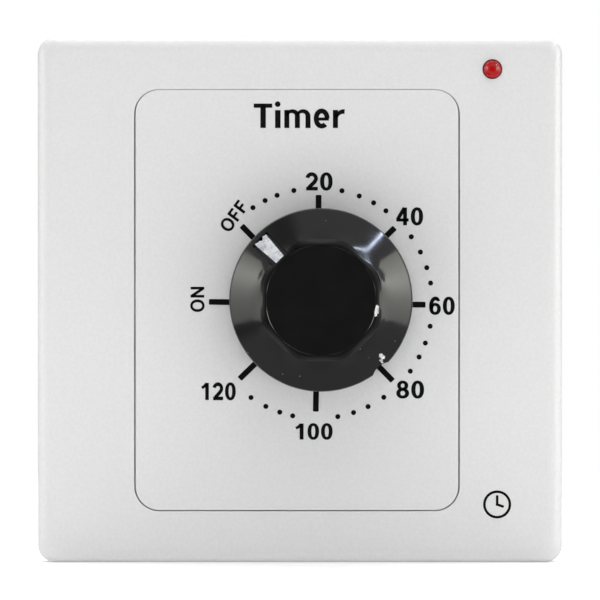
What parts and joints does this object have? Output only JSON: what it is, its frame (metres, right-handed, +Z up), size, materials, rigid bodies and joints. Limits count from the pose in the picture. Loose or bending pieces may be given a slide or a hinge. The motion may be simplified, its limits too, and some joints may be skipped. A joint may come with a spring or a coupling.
{
  "type": "wall timer switch",
  "caption": "Square wall-plate countdown timer switch with a rotary knob, printed dial, indicator lamp and an open clockwork movement and switch block behind.",
  "frame": {"origin": "centre of the square plate on the wall plane, midway between the two wall screw slots", "axes": "+X to the right and +Z up as seen by the user, -Y out of the wall towards the user, +Y into the wall box"},
  "size_m": [0.086, 0.053, 0.086],
  "materials": {
    "white_abs": "glossy white moulded ABS",
    "base_plastic": "satin moulded plastic",
    "black_abs": "glossy black moulded ABS, fine matt top",
    "silver_strip": "silver-white inlay",
    "red_lens": "tinted epoxy",
    "tinned_wire": "tinned copper",
    "sleeve_black": "heat-shrunk sleeving",
    "resistor_body": "lacquered ceramic",
    "pvc_red": "PVC wire insulation",
    "pvc_blue": "PVC wire insulation",
    "zinc_steel": "zinc-plated steel",
    "spring_steel": "blued spring steel",
    "dark_steel": "turned steel",
    "brass": "stamped and turned brass",
    "phenolic": "moulded phenolic",
    "spring_brass": "rolled phosphor bronze",
    "contact_silver": "silver alloy",
    "nylon": "natural nylon"
  },
  "bodies": {
    "timer_body": {"front_frame": "white_abs", "dial_panel": "white_abs", "base_plate": "base_plastic", "panel_screws": "zinc_steel", "movement_screws": "zinc_steel", "indicator_led": "red_lens", "led_leads": "tinned_wire", "led_sleeves": "sleeve_black", "led_resistor": "resistor_body", "led_wire_switched": "pvc_red", "led_wire_neutral": "pvc_blue", "front_movement_plate": "zinc_steel", "rear_movement_plate": "zinc_steel", "plate_pillars": "dark_steel", "pillar_screws": "zinc_steel", "front_spindle_bush": "brass", "rear_spindle_bush": "brass", "mainspring_post": "dark_steel", "mainspring": "spring_steel", "stop_pin": "dark_steel", "contact_block": "phenolic", "block_screws": "zinc_steel", "moving_contact_blade": "spring_brass", "moving_contact_button": "contact_silver", "cam_follower_pad": "nylon", "fixed_contact_blade": "spring_brass", "fixed_contact_button": "contact_silver", "terminal_clamps": "brass", "terminal_screws": "zinc_steel"},
    "knob_assembly": {"knob": "black_abs", "knob_pointer_strip": "silver_strip", "knob_spring_clip": "spring_steel", "spindle": "dark_steel", "front_circlip": "spring_steel", "rear_circlip": "spring_steel", "spring_arbor": "dark_steel", "great_wheel": "brass", "clutch_washer": "spring_steel", "stop_collar": "dark_steel", "switch_cam": "nylon"},
    "second_wheel_assembly": {"second_arbor": "dark_steel", "second_wheel": "brass"},
    "third_wheel_assembly": {"third_arbor": "dark_steel", "third_wheel": "brass"},
    "fourth_wheel_assembly": {"fourth_arbor": "dark_steel", "fourth_wheel": "brass"},
    "escape_wheel_assembly": {"escape_arbor": "dark_steel", "escape_wheel": "brass"},
    "verge_assembly": {"verge_arbor": "dark_steel", "verge_lever": "zinc_steel", "verge_inertia_bar": "dark_steel"}
  },
  "joints": [
    {"name": "knob_turn", "type": "hinge", "parent": "timer_body", "child": "knob_assembly", "pos_m": [0.0034, 0, 0.0001], "axis": [0, 1, 0], "range_deg": [-45, 270], "deforming": ["mainspring", "moving_contact_blade", "moving_contact_button", "cam_follower_pad"]},
    {"name": "second_wheel_turn", "type": "hinge", "parent": "timer_body", "child": "second_wheel_assembly", "pos_m": [-0.00971, 0, -0.00908], "axis": [0, 1, 0], "range_deg": [-2430, 405]},
    {"name": "third_wheel_turn", "type": "hinge", "parent": "timer_body", "child": "third_wheel_assembly", "pos_m": [0.00015, 0, -0.01575], "axis": [0, 1, 0], "range_deg": [-3037.5, 18225]},
    {"name": "fourth_wheel_turn", "type": "hinge", "parent": "timer_body", "child": "fourth_wheel_assembly", "pos_m": [0.00972, 0, -0.01501], "axis": [0, 1, 0], "range_deg": [-127575, 21262.5]},
    {"name": "escape_wheel_turn", "type": "hinge", "parent": "timer_body", "child": "escape_wheel_assembly", "pos_m": [0.01651, 0, -0.01006], "axis": [0, 1, 0], "range_deg": [-127575, 765450]},
    {"name": "verge_rock", "type": "hinge", "parent": "timer_body", "child": "verge_assembly", "pos_m": [0.01959, 0, -0.00423], "axis": [0, 1, 0], "range_deg": [-6, 6]}
  ],
  "couplings": [
    {"joint": "second_wheel_turn", "follows": "knob_turn", "ratio": -9},
    {"joint": "third_wheel_turn", "follows": "knob_turn", "ratio": 67.5},
    {"joint": "fourth_wheel_turn", "follows": "knob_turn", "ratio": -472.5},
    {"joint": "escape_wheel_turn", "follows": "knob_turn", "ratio": 2835}
  ]
}
